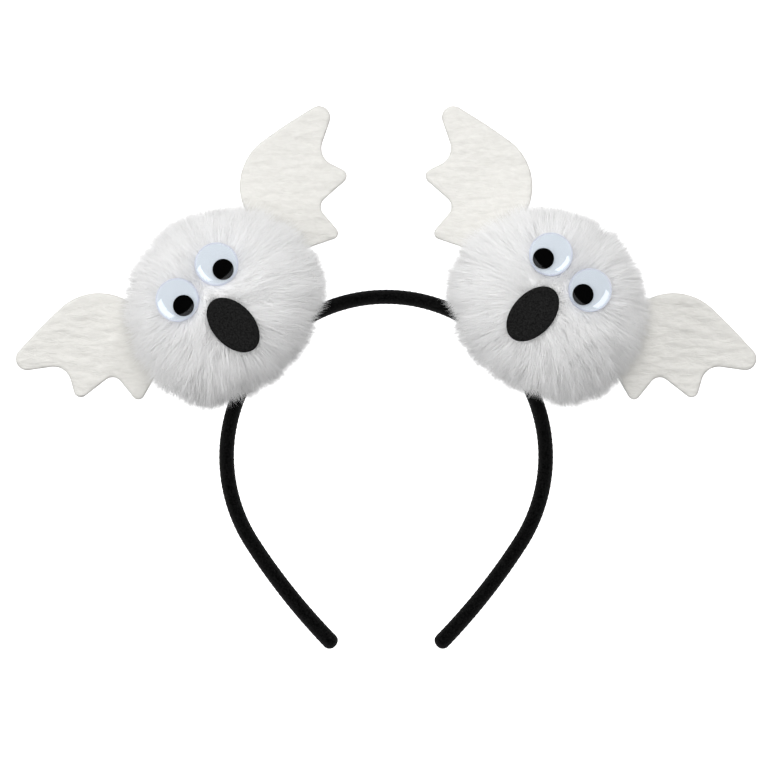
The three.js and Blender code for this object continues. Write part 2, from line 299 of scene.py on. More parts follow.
def hoop_frame():
    """The hoop's own frame: X to the right, Y to the crown, Z to the front, origin at the arc's centre."""
    points = node_points("band")
    normal = Vector(np.linalg.svd(points - points.mean(0), full_matrices=False)[2][2])
    if normal.z < 0:
        normal.negate()
    right = Vector((1, 0, 0))
    up = normal.cross(right).normalized()
    ahead = points @ np.array(normal)
    crown = (points @ np.array(up)).max() - (ARC_RADIUS + BAND_THICKNESS / 2) * MM
    middle = (ahead.max() + ahead.min()) / 2
    return axes_matrix(right, up, normal, up * crown + normal * middle)


HOOP = hoop_frame()


def ghost_frame(side):
    """The hoop's frame moved to a pompom's middle."""
    turn = math.radians(POMPOM_FROM_CROWN_DEG)
    place = Vector((side * POMPOM_ORBIT * math.sin(turn), POMPOM_ORBIT * math.cos(turn), POMPOM_FORWARD))
    return HOOP @ Matrix.Translation(place * MM)


def wing_frame(side):
    """The frame of a ghost's two wings, with Y up along its leaning head."""
    tilt = Matrix.Rotation(-side * math.radians(WING_TILT_DEG), 4, "Z")
    place = Vector((-side * WING_PAIR_INWARD, 0, -WING_BEHIND))
    return ghost_frame(side) @ tilt @ Matrix.Translation(place * MM)


def eye_frame(eye):
    """An eye's own frame, Z out of its face, origin at the middle of its back, from its joint."""
    joint = next(j for j in frame["joints"] if j["name"] == f"{eye}_pupil_roll")
    out = Vector(joint["axis"]).normalized()
    right = (Vector((1, 0, 0)) - out * out.x).normalized()
    return axes_matrix(right, out.cross(right), out, Vector(joint["pos_m"]))


def mouth_frame(name):
    """A mouth's own frame, Y along the oval and Z out of its face, origin at its middle."""
    points = node_points(name)
    axes = np.linalg.svd(points - points.mean(0), full_matrices=False)[2]
    out = Vector(axes[2] * np.sign(axes[2][2]))
    along = Vector(axes[0])
    return axes_matrix(along.cross(out), along, out, Vector(points.mean(0)))


# Materials

def shader(name, **values):
    """A new material, its node tree and its shader, with constant values set on the shader's sockets."""
    material = bpy.data.materials.new(name)
    material.use_nodes = True
    principled = material.node_tree.nodes["Principled BSDF"]
    for label, value in values.items():
        principled.inputs[label.replace("_", " ")].default_value = value
    return material, material.node_tree, principled


def add_node(tree, kind, **values):
    """A new node, with values set on its sockets or, where it has no such socket, on the node."""
    node = tree.nodes.new(kind)
    for label, value in values.items():
        if label in node.inputs:
            node.inputs[label].default_value = value
        else:
            setattr(node, label, value)
    return node


def noise_at(tree, scale, detail=3.0, roughness=0.55, stretch=(1, 1, 1), distortion=0.0):
    """Noise over the row frame; scale counts its features in a metre."""
    place = add_node(tree, "ShaderNodeTexCoord")
    mapping = add_node(tree, "ShaderNodeMapping", Scale=stretch)
    pattern = add_node(
        tree, "ShaderNodeTexNoise", Scale=scale, Detail=detail, Roughness=roughness, Distortion=distortion
    )
    tree.links.new(place.outputs["Object"], mapping.inputs["Vector"])
    tree.links.new(mapping.outputs["Vector"], pattern.inputs["Vector"])
    return pattern.outputs["Fac"]


def own_map(tree):
    """The U and V of a piece's own map."""
    place = add_node(tree, "ShaderNodeUVMap", uv_map=OWN_MAP)
    split = add_node(tree, "ShaderNodeSeparateXYZ")
    tree.links.new(place.outputs["UV"], split.inputs["Vector"])
    return split.outputs["X"], split.outputs["Y"]


def ramp(tree, factor, stops):
    """Colours between stops of (position, colour) as a factor rises."""
    node = add_node(tree, "ShaderNodeValToRGB")
    for element, (position, colour) in zip(node.color_ramp.elements, stops):
        element.position = position
        element.color = (*colour, 1)
    tree.links.new(factor, node.inputs["Fac"])
    return node.outputs["Color"]


def greys(low, high):
    """Stops for a ramp between two greys, each given as (position, brightness)."""
    return [(position, (level, level, level)) for position, level in (low, high)]


def multiplied(tree, first, second, socket):
    """Links the product of two colours to a socket."""
    both = add_node(tree, "ShaderNodeMix", data_type="RGBA", blend_type="MULTIPLY")
    both.inputs["Factor"].default_value = 1
    tree.links.new(first, both.inputs["A"])
    tree.links.new(second, both.inputs["B"])
    tree.links.new(both.outputs["Result"], socket)


def bump(tree, principled, *layers):
    """Relief from layers of (height, strength, distance), each laid over the one before."""
    below = None
    for height, strength, distance in layers:
        node = add_node(tree, "ShaderNodeBump", Strength=strength, Distance=distance * MM)
        tree.links.new(height, node.inputs["Height"])
        if below:
            tree.links.new(below.outputs["Normal"], node.inputs["Normal"])
        below = node
    tree.links.new(below.outputs["Normal"], principled.inputs["Normal"])


def fur_material():
    """Fur whose strands differ a little in tone, along U of their map, with painted shade at the roots that
    fades out towards the tips, along V.
    """
    material, tree, principled = shader(
        "white_fur", Roughness=0.85, Specular_IOR_Level=0.15, Sheen_Weight=0.3, Sheen_Roughness=0.6
    )
    across, along = own_map(tree)
    tone = ramp(tree, across, greys((0, 0.955), (1, 0.995)))
    # Painted shade: each strand darkens a little towards its root, as though shaded by the fur around it.
    painted_root_shade = ramp(tree, along, greys((0, 0.985), (0.75, 1)))
    multiplied(tree, tone, painted_root_shade, principled.inputs["Base Color"])
    return material


def white_felt_material():
    """Mottled off-white felt with creases across it and a fine grain."""
    material, tree, principled = shader("white_felt", Roughness=0.95, Specular_IOR_Level=0.1)
    mottle = noise_at(tree, 700, detail=4, roughness=0.65, stretch=(0.4, 1, 1), distortion=0.5)
    colour = ramp(tree, mottle, [(0.3, (0.755, 0.745, 0.71)), (0.7, (0.835, 0.825, 0.79))])
    tree.links.new(colour, principled.inputs["Base Color"])
    creases = noise_at(tree, 420, detail=3, roughness=0.6, stretch=(0.35, 1, 1), distortion=0.6)
    grain = noise_at(tree, 1400, detail=4, stretch=(0.5, 1, 1))
    bump(tree, principled, (creases, 0.8, 0.7), (grain, 0.5, 0.15))
    return material


def black_felt_material():
    """Matte black felt with a coarse nap."""
    material, tree, principled = shader("black_felt", Roughness=1.0, Specular_IOR_Level=0.1)
    mottle = noise_at(tree, 1500, detail=5, roughness=0.7)
    colour = ramp(tree, mottle, greys((0.35, 0.004), (0.65, 0.022)))
    tree.links.new(colour, principled.inputs["Base Color"])
    bump(tree, principled, (mottle, 0.6, 0.2))
    return material


def band_material():
    """Black woven ribbon."""
    material, tree, principled = shader("band_fabric", Roughness=0.9, Specular_IOR_Level=0.2)
    mottle = noise_at(tree, 1500, detail=4)
    colour = ramp(tree, mottle, greys((0.38, 0.0006), (0.66, 0.0075)))
    tree.links.new(colour, principled.inputs["Base Color"])
    bump(tree, principled, (mottle, 0.8, 0.2))
    return material


def eye_white_material():
    """Mottled white that darkens to a painted grey-blue ring of shade at the disc's rim, along V of its map,
    in place of the clear dome's rim.
    """
    material, tree, principled = shader("eye_white", Roughness=0.45, Specular_IOR_Level=0.3)
    mottle = ramp(tree, noise_at(tree, 300), [(0.3, (0.91, 0.915, 0.955)), (0.7, (0.945, 0.95, 0.99))])
    # Painted shade: a grey-blue ring at the disc's edge stands in for the clear dome's rim.
    ring = ramp(tree, own_map(tree)[1], [(0.53, (0.74, 0.78, 0.88)), (0.57, (0.88, 0.955, 1))])
    multiplied(tree, mottle, ring, principled.inputs["Base Color"])
    return material


def eye_clear_material():
    """A thin clear gloss that shows lights and does not bend what lies behind it."""
    return shader(
        "eye_clear", Base_Color=(0.92, 0.955, 0.99, 1), Metallic=1, Roughness=0.04, Alpha=0.06
    )[0]


def pupil_material():
    """Black plastic with slightly uneven gloss."""
    material, tree, principled = shader(
        "pupil_black", Base_Color=(0.002, 0.002, 0.002, 1), Specular_IOR_Level=0.0
    )
    rough = ramp(tree, noise_at(tree, 900), greys((0.3, 0.35), (0.7, 0.5)))
    tree.links.new(rough, principled.inputs["Roughness"])
    return material


def floor_material():
    """A plain pale floor that shows as white paper does in a light tent."""
    material, tree, principled = shader(
        "floor", Roughness=0.9, Specular_IOR_Level=0.1, Emission_Color=(1, 1, 1, 1), Emission_Strength=1
    )
    colour = ramp(tree, noise_at(tree, 3), greys((0.3, 0.93), (0.7, 0.95)))
    tree.links.new(colour, principled.inputs["Base Color"])
    return material


WHITE_FUR = fur_material()
WHITE_FELT = white_felt_material()
BLACK_FELT = black_felt_material()
BAND_FABRIC = band_material()
EYE_WHITE = eye_white_material()
EYE_CLEAR = eye_clear_material()
PUPIL_BLACK = pupil_material()


def dress(piece, body, slot, *nodes):
    """Puts a piece on its body, in place of its solids. Its slot argument is not used."""
    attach(piece, body)
    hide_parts(*nodes)


# The hoop

def band_points():
    """Rings of points round a capsule bent along the hoop, with a low ridge where its ribbon winds on."""
    tip = BAND_THICKNESS / 2
    steps = round(2 * (BAND_HALF_LENGTH + tip) / BAND_STEP)
    inner = np.linspace(-BAND_HALF_LENGTH, BAND_HALF_LENGTH, steps)
    cap = BAND_HALF_LENGTH + tip * np.sin(np.linspace(0, math.pi / 2, BAND_CAP_STEPS)[1:-1])
    distance = np.concatenate((-cap[::-1], inner, cap))[:, None]
    past = np.clip(np.abs(distance) - BAND_HALF_LENGTH, 0, None) / tip
    narrow = np.sqrt(1 - past**2)
    share = np.minimum(np.abs(distance) / BAND_HALF_LENGTH, 1)
    thickness = BAND_THICKNESS + (BAND_TIP_THICKNESS - BAND_THICKNESS) * share**2
    around = np.linspace(0, 2 * math.pi, BAND_SIDES, endpoint=False)[None, :]
    wind = distance / WRAP_PITCH + around / (2 * math.pi)
    ridge = WRAP_PROUD + WRAP_RIDGE * (1 - 2 * np.abs(np.sin(math.pi * wind)) ** WRAP_RIDGE_POWER)
    across = narrow * (thickness / 2 + ridge) * np.cos(around)
    front = narrow * (BAND_WIDTH / 2 + ridge) * np.sin(around)
    on_arc = np.clip(distance, -ARC_HALF_LENGTH, ARC_HALF_LENGTH)
    arc_angle = on_arc / ARC_RADIUS
    angle = arc_angle + (distance - on_arc) / LEG_RADIUS
    x = np.sin(arc_angle) * (LEG_RADIUS - ARC_RADIUS) - np.sin(angle) * (LEG_RADIUS + across)
    y = np.cos(arc_angle) * (ARC_RADIUS - LEG_RADIUS) + np.cos(angle) * (LEG_RADIUS + across)
    return np.stack(np.broadcast_arrays(x, y, front), axis=-1)


def ring_faces(rings, sides):
    """Quads between rings of vertices, with one face over each end ring."""
    faces = []
    for i in range(rings - 1):
        for j in range(sides):
            k = (j + 1) % sides
            faces.append((i * sides + j, i * sides + k, (i + 1) * sides + k, (i + 1) * sides + j))
    faces.append(tuple(reversed(range(sides))))
    faces.append(tuple((rings - 1) * sides + j for j in range(sides)))
    return faces


def make_band():
    """The hoop with its wound ribbon."""
    rings = band_points()
    faces = ring_faces(rings.shape[0], BAND_SIDES)
    band = make_object("band_wrap", moved(rings.reshape(-1, 3), HOOP), faces, BAND_FABRIC)
    dress(band, "headband", "band_fabric", "band")


# Felt sheets

def rounded_outline(corners, step):
    """A closed outline through corners, each rounded by an arc, with points about a step apart."""
    places = np.array([(corner["out"], corner["up"]) for corner in corners])
    points = []
    for corner, before, here, after in zip(corners, np.roll(places, 1, 0), places, np.roll(places, -1, 0)):
        radius = corner["round"]
        back = unit(before - here)
        on = unit(after - here)
        half = math.acos(back @ on) / 2
        centre = here + unit(back + on) * radius / math.sin(half)
        start = here + back * radius / math.tan(half) - centre
        end = here + on * radius / math.tan(half) - centre
        first = math.atan2(start[1], start[0])
        sweep = math.remainder(math.atan2(end[1], end[0]) - first, 2 * math.pi)
        for turn in np.linspace(0, sweep, max(3, round(abs(sweep) * radius / step) + 1)):
            points.append(centre + radius * np.array((math.cos(first + turn), math.sin(first + turn))))
    return evenly_spaced(np.array(points), step)


def evenly_spaced(points, step):
    """Points about a step apart on the closed line through some points."""
    closed = np.vstack((points, points[:1]))
    along = np.concatenate(([0], np.cumsum(np.linalg.norm(np.diff(closed, axis=0), axis=1))))
    wanted = np.arange(round(along[-1] / step)) * along[-1] / round(along[-1] / step)
    return np.column_stack([np.interp(wanted, along, closed[:, axis]) for axis in (0, 1)])


def left_of(outline):
    """The direction to the left of a closed outline at each of its points."""
    along = unit(np.roll(outline, -1, 0) - np.roll(outline, 1, 0))
    return np.column_stack((-along[:, 1], along[:, 0]))


def signed_area(outline):
    """The area inside an outline, negative where it runs clockwise."""
    x, y = outline.T
    return np.sum(x * np.roll(y, -1) - y * np.roll(x, -1)) / 2


def outline_distance(points, outline):
    """How far inside an outline each point lies, negative outside."""
    start = outline[None, :, :]
    edge = np.roll(outline, -1, 0)[None, :, :] - start
    apart = points[:, None, :] - start
    share = np.clip((apart * edge).sum(-1) / (edge**2).sum(-1), 0, 1)
    away = np.linalg.norm(apart - share[..., None] * edge, axis=-1).min(1)
    rise = np.where(edge[..., 1] == 0, 1, edge[..., 1])
    crossing = apart[..., 0] < edge[..., 0] * apart[..., 1] / rise
    spans = (start[..., 1] > points[:, None, 1]) != ((start + edge)[..., 1] > points[:, None, 1])
    inside = (spans & crossing).sum(1) % 2 == 1
    return np.where(inside, away, -away)


def felt_sheet(outline, thickness):
    """A sheet of felt in its own plane: points with their height from mid-plane, and triangles."""
    if signed_area(outline) < 0:
        outline = outline[::-1]
    inward = left_of(outline)
    rims = [outline + inward * FELT_EDGE_ROUND * share for share in FELT_RIMS]
    low = outline.min(0)
    high = outline.max(0)
    columns = np.arange(low[0], high[0], FELT_GRAIN)
    rows = np.arange(low[1], high[1], FELT_GRAIN * math.sqrt(0.75))
    grid = np.array([(x + FELT_GRAIN * (i % 2) / 2, y) for i, y in enumerate(rows) for x in columns])
    grid_from = FELT_EDGE_ROUND * FELT_RIMS[-1] + FELT_GRAIN * FELT_RIM_GAP
    flat = np.vstack((*rims, grid[outline_distance(grid, outline) > grid_from]))
    border = list(range(len(outline)))
    made = delaunay_2d_cdt([Vector(point) for point in flat], [], [border], 1, SAME_POINT)
    corners = np.array([point[:] for point in made[0]])
    triangles = np.array(made[2])
    depth = np.clip(outline_distance(corners, outline), 0, None)
    rim = depth < ON_EDGE
    height = thickness / 2 * np.sqrt(1 - (1 - np.minimum(depth / FELT_EDGE_ROUND, 1)) ** 2)
    height[rim] = 0
    below = np.arange(len(corners))
    below[~rim] = len(corners) + np.arange((~rim).sum())
    top = np.column_stack((corners, height))
    bottom = np.column_stack((corners, -height))[~rim]
    return np.vstack((top, bottom)), np.vstack((triangles, below[triangles][:, ::-1]))


def fold_height(fold, x, y):
    """How high one size of fold stands at a point of the hoop's plane."""
    return fold["height"] * noise.noise(Vector((x / fold["wide"], y / fold["tall"], fold["slice"])))


def wrinkle(x, y):
    """How far the felt lies forward of flat at a point of the hoop's plane, in soft wavy folds across it."""
    swing = fold_height(FOLD_SWING, x, y)
    return sum(fold_height(fold, x, y + swing) for fold in FOLDS)


def make_wing(ghost, side, where):
    """A wrinkled felt wing that droops back towards its tip."""
    outline = rounded_outline(WING_CORNERS, WING_OUTLINE_STEP)
    outline += FELT_SPREAD * left_of(outline)
    points, triangles = felt_sheet(outline, WING_THICKNESS)
    root = min(corner["out"] for corner in WING_CORNERS)
    span = max(corner["out"] for corner in WING_CORNERS) - root
    points[:, 2] -= WING_DROOP * np.clip((points[:, 0] - root) / span, 0, None) ** 2
    if side * SIDES_OF_A_GHOST[where] < 0:
        points[:, 0] *= -1
        triangles = triangles[:, ::-1]
    in_row = moved(points, wing_frame(side))
    in_hoop = np.array([HOOP.inverted() @ Vector(point) for point in in_row]) / MM
    lift = np.array([wrinkle(x, y) for x, y, z in in_hoop])
    in_row += lift[:, None] * MM * np.array(HOOP.to_3x3().col[2])
    name = f"{ghost}_{where}_wing"
    wing = triangle_object(f"{name}_felt", in_row, triangles, WHITE_FELT)
    dress(wing, "headband", "white_felt", name)


def make_mouth(ghost):
    """A flat oval felt mouth."""
    name = f"{ghost}_mouth"
    turn = np.linspace(0, 2 * math.pi, MOUTH_POINTS, endpoint=False)
    outline = np.column_stack((MOUTH_HALF_WIDTH * np.cos(turn), MOUTH_HALF_HEIGHT * np.sin(turn)))
    points, triangles = felt_sheet(outline, MOUTH_THICKNESS)
    mouth = triangle_object(f"{name}_felt", moved(points, mouth_frame(name)), triangles, BLACK_FELT)
    dress(mouth, "headband", "black_felt", name)


# The eyes

def turned(name, profile, matrix, material):
    """A solid of revolution about Z from a profile of (radius, height), with U of its map round it."""
    radius, height = np.array(profile).T
    along = np.concatenate(([0], np.cumsum(np.hypot(np.diff(radius), np.diff(height)))))
    along /= along[-1]
    turn = np.linspace(0, 2 * math.pi, EYE_SEGMENTS, endpoint=False)
    x = radius[:, None] * np.cos(turn)
    y = radius[:, None] * np.sin(turn)
    z = np.broadcast_to(height[:, None], x.shape)
    points = np.stack((x, y, z), axis=-1).reshape(-1, 3)
    faces = []
    places = []
    for i in range(len(profile) - 1):
        low, high = i * EYE_SEGMENTS, (i + 1) * EYE_SEGMENTS
        for j in range(EYE_SEGMENTS):
            k = (j + 1) % EYE_SEGMENTS
            left, right = j / EYE_SEGMENTS, (j + 1) / EYE_SEGMENTS
            faces.append((low + j, low + k, high + k, high + j))
            places += [(left, along[i]), (right, along[i]), (right, along[i + 1]), (left, along[i + 1])]
    made = make_object(name, moved(points, matrix), faces, material)
    made.data.uv_layers.new(name=OWN_MAP).uv.foreach_set("vector", np.array(places).ravel())
    weld(made)
    made.data.set_sharp_from_angle(angle=math.radians(SHARP_DEG))
    return made


def weld(piece):
    """Joins the vertices of a turned piece that meet on its axis."""
    mesh = bmesh.new()
    mesh.from_mesh(piece.data)
    bmesh.ops.remove_doubles(mesh, verts=mesh.verts, dist=WELD_DISTANCE)
    mesh.to_mesh(piece.data)
    mesh.free()


def rounded_disc(radius, bottom, top, edge):
    """The profile of a disc with rounded rims."""
    turn = np.linspace(0, math.pi / 2, EDGE_STEPS)
    lower = [(radius - edge + edge * math.sin(a), bottom + edge - edge * math.cos(a)) for a in turn]
    upper = [(radius - edge + edge * math.cos(a), top - edge + edge * math.sin(a)) for a in turn]
    return [(0, bottom), (radius / 2, bottom), *lower, *upper, (radius / 2, top), (0, top)]


def dome_wall(radius, top):
    """One wall of a dome, from its upright rim to just short of its top."""
    rise = top - EYE_RIM_HEIGHT
    turns = np.linspace(0, math.pi / 2, DOME_STEPS)[:-1]
    return [(radius * math.cos(turn), EYE_RIM_HEIGHT + rise * math.sin(turn)) for turn in turns]


def dome_profile():
    """The profile of a hollow clear dome, up its inside wall, round its foot and up its outside wall."""
    inner = EYE_RADIUS - EYE_WALL
    ceiling = EYE_HEIGHT - EYE_WALL
    foot = EYE_BACK_THICKNESS + EYE_BACK_PLAY
    inside = [(0, ceiling), *reversed(dome_wall(inner, ceiling)), (inner, foot)]
    return [*inside, (EYE_RADIUS, foot), *dome_wall(EYE_RADIUS, EYE_HEIGHT), (0, EYE_HEIGHT)]


def make_eye(eye):
    """An eye's disc, dome and pupil; returns the dome."""
    matrix = eye_frame(eye)
    disc = rounded_disc(EYE_RADIUS, 0, EYE_BACK_THICKNESS, EYE_BACK_EDGE)
    back = turned(f"{eye}_eye_disc", disc, matrix, EYE_WHITE)
    dress(back, "headband", "eye_white", f"{eye}_eye_back")
    dome = turned(f"{eye}_eye_shell", dome_profile(), matrix, EYE_CLEAR)
    dress(dome, "headband", "eye_clear", f"{eye}_eye_dome")
    points = node_points(f"{eye}_eye_pupil")
    middle = (points.max(0) + points.min(0)) / 2
    pupil_matrix = Matrix.Translation(Vector(middle)) @ matrix.to_3x3().to_4x4()
    half = PUPIL_THICKNESS / 2
    bead = rounded_disc(PUPIL_RADIUS, -half, half, PUPIL_EDGE)
    pupil = turned(f"{eye}_eye_bead", bead, pupil_matrix, PUPIL_BLACK)
    dress(pupil, f"{eye}_pupil", "pupil_black", f"{eye}_eye_pupil")
    return dome


# The fur's form

def degrees_from(directions, middle):
    """The angle between each direction and one in the middle."""
    return np.degrees(np.arccos(np.clip(directions @ middle, -1, 1)))


def notch_depth(directions, pompom):
    """How much shorter the fur is along the two places where the hoop leaves it."""
    tall = 90 - degrees_from(directions, pompom["front"])
    depth = np.zeros(len(directions))
    for notch in pompom["notches"]:
        beside = np.cross(pompom["front"], notch["toward"])
        wide = np.degrees(np.arctan2(directions @ beside, directions @ notch["toward"]))
        off = (wide / HOOP_NOTCH_WIDE_DEG) ** 2 + (tall / HOOP_NOTCH_TALL_DEG) ** 2
        depth += notch["depth"] * np.exp(-off)
    return depth


def fur_reach(directions, pompom):
    """The fur's outer radius in each direction: less where it meets the hoop, more by the inner wing."""
    hollow = HOOP_HOLLOW * np.exp(-((degrees_from(directions, pompom["hollow"]) / HOOP_HOLLOW_DEG) ** 3))
    crest = CREST * np.exp(-((degrees_from(directions, pompom["crest"]) / CREST_DEG) ** 4))
    return FUR_RADIUS - hollow - notch_depth(directions, pompom) + crest


def past_edge(directions, piece):
    """How far each direction passes outside a piece of the face, and how far out the fur may reach by it."""
    facing = directions @ piece["out"]
    plane = (piece["place"] @ piece["out"]) / np.maximum(facing, LEAST_FACING)
    apart = directions * plane[:, None] - piece["place"]
    across = np.column_stack((apart @ piece["right"], apart @ piece["up"]))
    share = np.linalg.norm(across / piece["half"], axis=1)
    beyond = np.linalg.norm(across, axis=1) * (1 - 1 / np.maximum(share, 1))
    front = plane + piece["front"] / np.maximum(facing, LEAST_FACING)
    return np.where(facing > LEAST_FACING, beyond, NOT_FACING), front


def below_face(directions, pieces):
    """The most that the fur reaches in each direction, so that it lies low round each piece of the face."""
    most = np.full(len(directions), np.inf)
    for piece in pieces:
        beyond, front = past_edge(directions, piece)
        most = np.minimum(most, front + DISH_SLOPE * beyond)
    return most


def combed(directions, face, pieces):
    """How the fur leans: away from the face's middle, and off each piece of it."""
    ahead = directions @ face
    forward = np.clip((ahead - COMB_FROM) / COMB_OVER, 0, 1)[:, None]
    lean = COMB * forward * (ahead[:, None] * directions - face)
    for piece in pieces:
        toward = unit(piece["place"])
        weight = PARTING * np.exp(-((past_edge(directions, piece)[0] / PARTING_REACH) ** 2))
        lean += weight[:, None] * unit(directions - (directions @ toward)[:, None] * toward + NEVER_ZERO)
    return lean


def smooth_field(directions, rng, waves, cycles):
    """A smooth random vector at each direction, of about unit size."""
    field = np.zeros(directions.shape)
    for _ in range(waves):
        pitch = rng.normal(0, cycles, 3)
        push = unit(rng.normal(0, 1, 3))
        field += np.outer(np.sin(directions @ pitch + rng.uniform(0, 2 * math.pi)), push)
    return field / math.sqrt(waves / 2)


def even_directions(count, rng, jitter):
    """Directions spread evenly all round on a spiral, each moved by some share of their spacing."""
    number = np.arange(count) + 0.5
    level = 1 - 2 * number / count
    turn = math.pi * (1 + math.sqrt(5)) * number
    ring = np.sqrt(1 - level**2)
    points = np.column_stack((ring * np.cos(turn), ring * np.sin(turn), level))
    return unit(points + rng.normal(0, jitter / math.sqrt(count), points.shape))


def nearest(points, centres):
    """The number of the centre that is nearest to each point."""
    tree = KDTree(len(centres))
    for number, centre in enumerate(centres):
        tree.insert(centre, number)
    tree.balance()
    return np.array([tree.find(point)[1] for point in points])


def scattered_tufts(count, rng):
    """Places all round a pompom where strands gather, and how each tuft differs from the others."""
    places = even_directions(count, rng, TUFT_JITTER)
    lean = rng.normal(0, 1, places.shape)
    return {"places": places, "lean": lean, "longer": rng.normal(0, 1, count), "tone": rng.random(count)}


def inward_from_down(side, degrees):
    """A direction in the hoop's plane, turned from down towards the other ghost, in the row frame."""
    turn = math.radians(degrees)
    return np.array(HOOP.to_3x3() @ Vector((-side * math.sin(turn), -math.cos(turn), 0)))


def face_piece(matrix, centre, seat):
    """Where a piece of the face lies from a pompom's middle, how wide it is and how high fur stands by it."""
    right, up, out = np.array(matrix.to_3x3()).T
    place = np.array(matrix.translation) / MM - centre
    return {"place": place, "right": right, "up": up, "out": out, **seat}


def pompom_facts(ghost, side, rng):
    """A pompom's middle, directions and tufts, in millimetres and directions of the row frame."""
    centre = np.array(ghost_frame(side).translation) / MM
    turn = np.array(HOOP.to_3x3())
    pieces = [face_piece(eye_frame(f"{ghost}_{where}"), centre, EYE_SEAT) for where in SIDES_OF_A_GHOST]
    pieces.append(face_piece(mouth_frame(f"{ghost}_mouth"), centre, MOUTH_SEAT))
    return {
        "centre": centre,
        "front": turn[:, 2],
        "hollow": inward_from_down(side, HOOP_HOLLOW_FROM_DOWN_DEG[ghost]),
        "notches": [
            {"toward": inward_from_down(side, notch["from_down_deg"]), "depth": notch["depth"]}
            for notch in HOOP_NOTCHES
        ],
        "crest": inward_from_down(side, 180 - CREST_FROM_UP_DEG),
        "smooth": turn @ unit(np.array(SMOOTH_SIDE)),
        "pieces": pieces,
        "face": unit(np.mean([piece["place"] for piece in pieces], axis=0)),
        "lock": scattered_tufts(LOCKS, rng),
        "wisp": scattered_tufts(WISPS, rng),
    }


# What the fur goes round

def seat_cone(matrix, seat):
    """A flared wall round a piece of the face, which keeps the fur off it."""
    half_width, half_height = seat["half"]
    turn = np.linspace(0, 2 * math.pi, SEAT_SIDES, endpoint=False)
    rims = []
    for forward, wider in ((-SEAT_BEHIND, 0), (SEAT_DEPTH, SEAT_FLARE * SEAT_DEPTH)):
        x = (half_width + FUR_CLEARANCE + wider) * np.cos(turn)
        y = (half_height + FUR_CLEARANCE + wider) * np.sin(turn)
        rims.append(np.column_stack((x, y, np.full(SEAT_SIDES, forward))))
    faces = []
    for j in range(SEAT_SIDES):
        k = (j + 1) % SEAT_SIDES
        faces.append((j, k, SEAT_SIDES + k, SEAT_SIDES + j))
    return moved(np.vstack(rims), matrix), faces


def obstacles():
    """A search tree of all that the fur goes round, in metres."""
    points = []
    faces = []
    for name, node in frame["nodes"].items():
        if "pompom" in name or "pupil" in name:
            continue
        faces += [[v + len(points) for v in polygon.vertices] for polygon in node.data.polygons]
        points += [vertex.co.copy() for vertex in node.data.vertices]
    eyes = [eye_frame(f"{ghost}_{where}") for ghost in GHOSTS for where in SIDES_OF_A_GHOST]
    mouths = [mouth_frame(f"{ghost}_mouth") for ghost in GHOSTS]
    seats = [seat_cone(matrix, EYE_SEAT) for matrix in eyes]
    seats += [seat_cone(matrix, MOUTH_SEAT) for matrix in mouths]
    for rims, cone in seats:
        faces += [[v + len(points) for v in face] for face in cone]
        points += [Vector(point) for point in rims]
    return BVHTree.FromPolygons(points, faces)


def clear_way(tree, starts, ends):
    """How far from each start towards its end a strand stays clear, and how far it is, in millimetres."""
    ways = ends - starts
    lengths = np.linalg.norm(ways, axis=1)
    clear = lengths.copy()
    for number, (start, way, length) in enumerate(zip(starts, ways, lengths)):
        hit = tree.ray_cast(Vector(start * MM), Vector(way), (length + FUR_CLEARANCE) * MM)
        if hit[0] is not None:
            clear[number] = hit[3] / MM - FUR_CLEARANCE
    return np.clip(clear, 0, None), lengths


# The fur's strands

def strand_mesh(spines, radii, tones, rng):
    """Three-sided tapering strands along spines of several points: points, triangles and the corners' map."""
    count, levels = spines.shape[:2]
    along = unit(spines[:, -1] - spines[:, 0])
    across = unit(np.cross(along, rng.normal(0, 1, along.shape)))
    other = np.cross(along, across)
    turn = np.arange(3) * 2 * math.pi / 3
    ring = across[:, None] * np.cos(turn)[:, None] + other[:, None] * np.sin(turn)[:, None]
    rings = [spines[:, level, None] + ring * radii[:, level, None, None] for level in range(levels - 1)]
    points = np.concatenate([*rings, spines[:, -1:]], axis=1)
    faces = [((2, 1, 0), ((1, 0), (0.5, 0), (0, 0)))]
    for level in range(levels - 1):
        low, high = level / (levels - 1), (level + 1) / (levels - 1)
        for j in range(3):
            left, right = 3 * level + j, 3 * level + (j + 1) % 3
            corner_map = ((j / 3, low), ((j + 1) / 3, low), ((j + 1) / 3, high), (j / 3, high))
            if level == levels - 2:
                faces.append(((left, right, 3 * levels - 3), (*corner_map[:2], ((j + 0.5) / 3, high))))
            else:
                faces.append(((left, right, right + 3), corner_map[:3]))
                faces.append(((left, right + 3, left + 3), (corner_map[0], *corner_map[2:])))
    numbers = np.array([corners for corners, corner_map in faces])
    triangles = np.arange(count)[:, None, None] * points.shape[1] + numbers[None]
    own = np.array([corner_map for corners, corner_map in faces])
    places = np.broadcast_to(own, (count, *own.shape)).copy()
    from_tone = tones[:, None, None] * (1 - STRAND_WIDTH_ON_MAP)
    places[..., 0] = from_tone + places[..., 0] * STRAND_WIDTH_ON_MAP
    return points.reshape(-1, 3), triangles.reshape(-1, 3), places.reshape(-1, 2)


